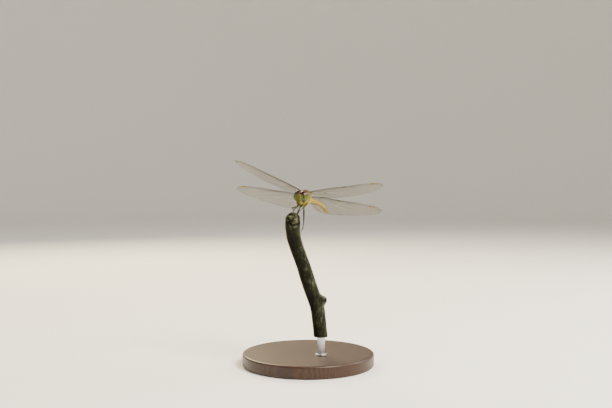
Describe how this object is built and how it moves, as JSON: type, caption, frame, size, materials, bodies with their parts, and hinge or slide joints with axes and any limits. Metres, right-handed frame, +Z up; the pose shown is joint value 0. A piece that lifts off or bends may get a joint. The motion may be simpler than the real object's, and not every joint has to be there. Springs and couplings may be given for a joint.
{
  "type": "darter dragonfly perched on a twig, life-size display model",
  "caption": "Darter dragonfly at rest with wings spread on the broken tip of a short twig, held up by a plain round display stand.",
  "frame": {"origin": "centre of the stand base's underside, on the floor", "axes": "+Z up; the dragonfly faces -Y, with its left side towards +X"},
  "size_m": [0.061, 0.0523, 0.0811],
  "materials": {
    "face_cuticle": "olive-yellow chitin, satin",
    "compound_eye": "red-brown above, olive below, glossy facets",
    "thorax_cuticle": "olive to reddish chitin with fine hair",
    "abdomen_cuticle": "straw-coloured chitin, satin",
    "wing_membrane": "clear membrane with brown veins",
    "leg_cuticle": "black chitin with a yellow stripe",
    "twig_bark": "grey-brown weathered bark",
    "stand_steel": "drawn steel rod, satin",
    "stand_lacquer": "dark stained hardwood, satin lacquer"
  },
  "bodies": {
    "root": {"head": "face_cuticle", "eye_left": "compound_eye", "eye_right": "compound_eye", "antenna_left": "leg_cuticle", "antenna_right": "leg_cuticle", "prothorax": "thorax_cuticle", "thorax": "thorax_cuticle", "abdomen_front": "abdomen_cuticle", "abdomen_middle": "abdomen_cuticle", "abdomen_rear": "abdomen_cuticle", "cercus_left": "abdomen_cuticle", "cercus_right": "abdomen_cuticle", "forewing_left": "wing_membrane", "forewing_right": "wing_membrane", "hindwing_left": "wing_membrane", "hindwing_right": "wing_membrane", "leg_front_left": "leg_cuticle", "leg_front_right": "leg_cuticle", "leg_mid_left": "leg_cuticle", "leg_mid_right": "leg_cuticle", "leg_hind_left": "leg_cuticle", "leg_hind_right": "leg_cuticle", "perch_twig": "twig_bark", "stand_rod": "stand_steel", "stand_base": "stand_lacquer"}
  },
  "joints": []
}
